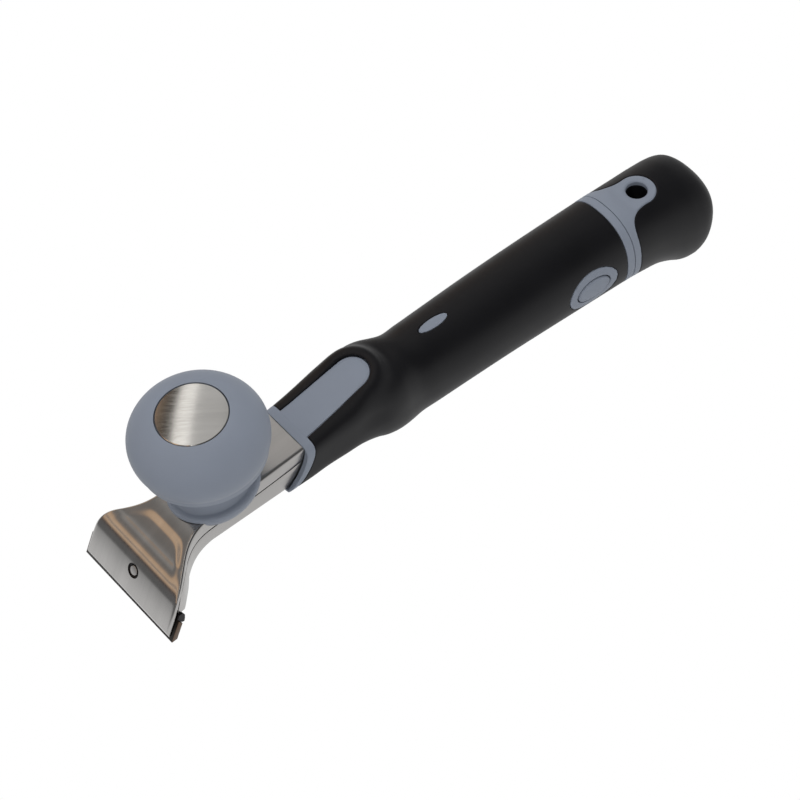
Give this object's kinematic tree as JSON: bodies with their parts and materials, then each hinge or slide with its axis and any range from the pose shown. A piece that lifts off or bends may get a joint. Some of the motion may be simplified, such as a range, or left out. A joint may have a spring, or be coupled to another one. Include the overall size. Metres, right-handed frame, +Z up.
{
  "type": "two-handed paint scraper",
  "caption": "Long paint scraper with a clamped carbide blade, a round palm knob on a flat steel stem and a soft-skinned handle with a blade magazine under its end cap.",
  "frame": {"origin": "centre of the footprint at table height, with the scraper standing on its cutting edge and its pommel", "axes": "+X along the handle from the blade to the pommel, +Y to the user's right with the blade held forward, +Z up through the knob"},
  "size_m": [0.2592, 0.05, 0.0729],
  "materials": {
    "plated_steel": "pressed sheet steel, satin plated",
    "turned_steel": "turned steel, zinc plated",
    "brushed_disc": "brushed in one direction",
    "black_steel": "blackened steel",
    "carbide": "ground carbide, brown-grey",
    "insert_brass": "knurled and moulded in",
    "grey_plastic": "moulded, fine matt",
    "grey_soft": "moulded, fine matt, slightly soft",
    "black_soft": "soft overmoulding, fine matt",
    "black_plastic": "moulded, satin"
  },
  "bodies": {
    "frame": {"upper_shell": "plated_steel", "lower_shell": "plated_steel", "thread_bush": "turned_steel", "spacer_tube": "turned_steel", "knob_screw": "turned_steel", "knob_insert": "insert_brass", "knob_base": "grey_plastic", "knob_grip": "grey_soft", "knob_disc": "brushed_disc", "tang_pin_front": "turned_steel", "tang_pin_rear": "turned_steel", "handle_core": "grey_plastic", "handle_grip": "black_soft"},
    "clamp": {"clamp_plate": "black_steel"},
    "screw": {"clamp_screw": "turned_steel"},
    "blade": {"blade": "carbide"},
    "cap": {"cap_core": "grey_plastic", "cap_grip": "black_soft", "magazine_tray": "black_plastic", "spare_blade_1": "carbide", "spare_blade_2": "carbide", "latch_arm_left": "black_plastic", "latch_arm_right": "black_plastic"},
    "button_left": {"release_button_left": "grey_plastic"},
    "button_right": {"release_button_right": "grey_plastic"}
  },
  "joints": [
    {"name": "clamp_drop", "type": "slide", "parent": "frame", "child": "clamp", "axis": [0.9085, 0, -0.4179], "range_m": [0, 0.0021]},
    {"name": "screw_turn", "type": "hinge", "parent": "clamp", "child": "screw", "pos_m": [-0.12302, 0, 0.01136], "axis": [0.9085, 0, -0.4179], "range_deg": [0, 1081]},
    {"name": "blade_slide", "type": "slide", "parent": "frame", "child": "blade", "axis": [0, 1, 0], "range_m": [-0.045, 0.045]},
    {"name": "cap_slide", "type": "slide", "parent": "frame", "child": "cap", "axis": [1, 0, 0], "range_m": [0, 0.07], "deforming": ["latch_arm_left", "latch_arm_right"]},
    {"name": "button_left_press", "type": "slide", "parent": "frame", "child": "button_left", "axis": [0, 1, 0], "range_m": [0, 0.0022], "stiffness_N_per_m": 500, "springref_m": -0.002},
    {"name": "button_right_press", "type": "slide", "parent": "frame", "child": "button_right", "axis": [0, -1, 0], "range_m": [0, 0.0022], "stiffness_N_per_m": 500, "springref_m": -0.002}
  ],
  "couplings": [
    {"joint": "screw_turn", "follows": "clamp_drop", "rad_per_m": 8976}
  ]
}
